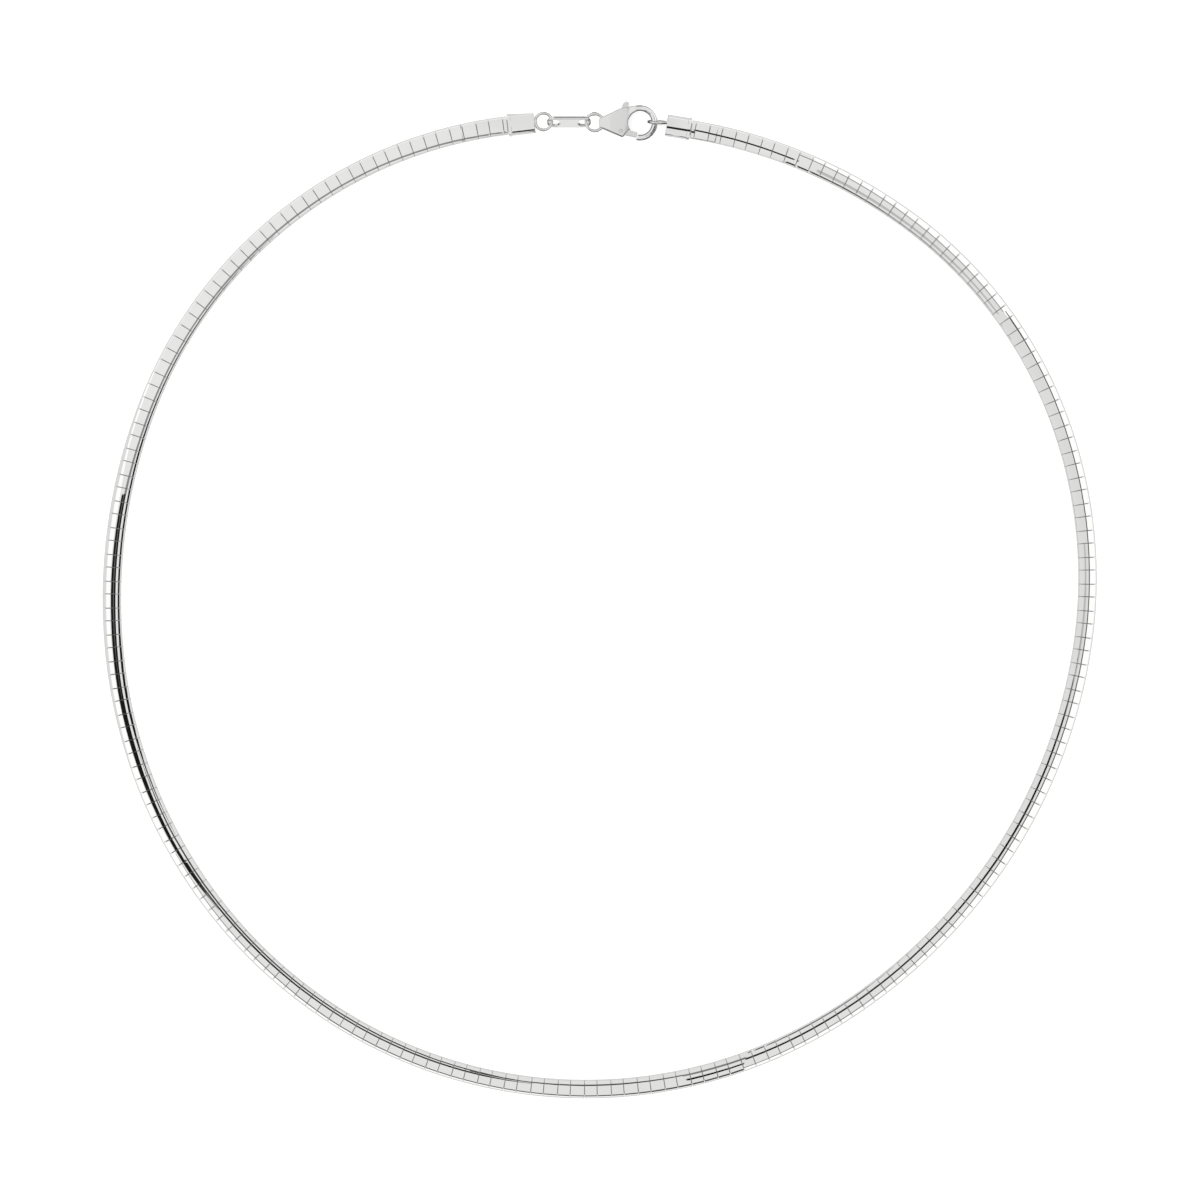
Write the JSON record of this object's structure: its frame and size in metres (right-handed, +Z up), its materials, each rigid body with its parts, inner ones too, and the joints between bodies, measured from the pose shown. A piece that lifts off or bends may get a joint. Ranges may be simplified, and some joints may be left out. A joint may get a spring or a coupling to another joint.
{
  "type": "omega necklace",
  "caption": "Stiff round necklace of small domed plates on a woven strip, with end caps, an oval link and a lobster clasp whose lever opens.",
  "frame": {"origin": "on the surface that the necklace lies on, under the middle of the whole necklace with its clasp", "axes": "+Z up out of the domed face, +Y from the front of the collar to the clasp, +X to the right seen from above"},
  "size_m": [0.1485, 0.1489, 0.0031],
  "materials": {
    "polished_plates": "mirror-polished white metal with fine handling marks",
    "woven_strip": "fine woven white metal wire",
    "end_caps": "polished white metal, softly satin on the flats",
    "link_and_ring": "polished white metal",
    "clasp_metal": "polished white metal, satin on the flat cheeks"
  },
  "bodies": {
    "necklace": {"plates_left": "polished_plates", "plates_right": "polished_plates", "mesh_core": "woven_strip", "end_cap_left": "end_caps", "end_cap_right": "end_caps", "tag_link": "link_and_ring", "clasp_ring": "link_and_ring", "clasp_body": "clasp_metal", "clasp_rivet": "clasp_metal"},
    "clasp_lever": {"clasp_lever": "clasp_metal"}
  },
  "joints": [
    {"name": "lever_pull", "type": "hinge", "parent": "necklace", "child": "clasp_lever", "pos_m": [0.003, 0.07, 0.00125], "axis": [0, 0, 1], "range_deg": [0, 24], "stiffness_Nm_per_rad": 0.001, "springref_deg": -5.73}
  ]
}
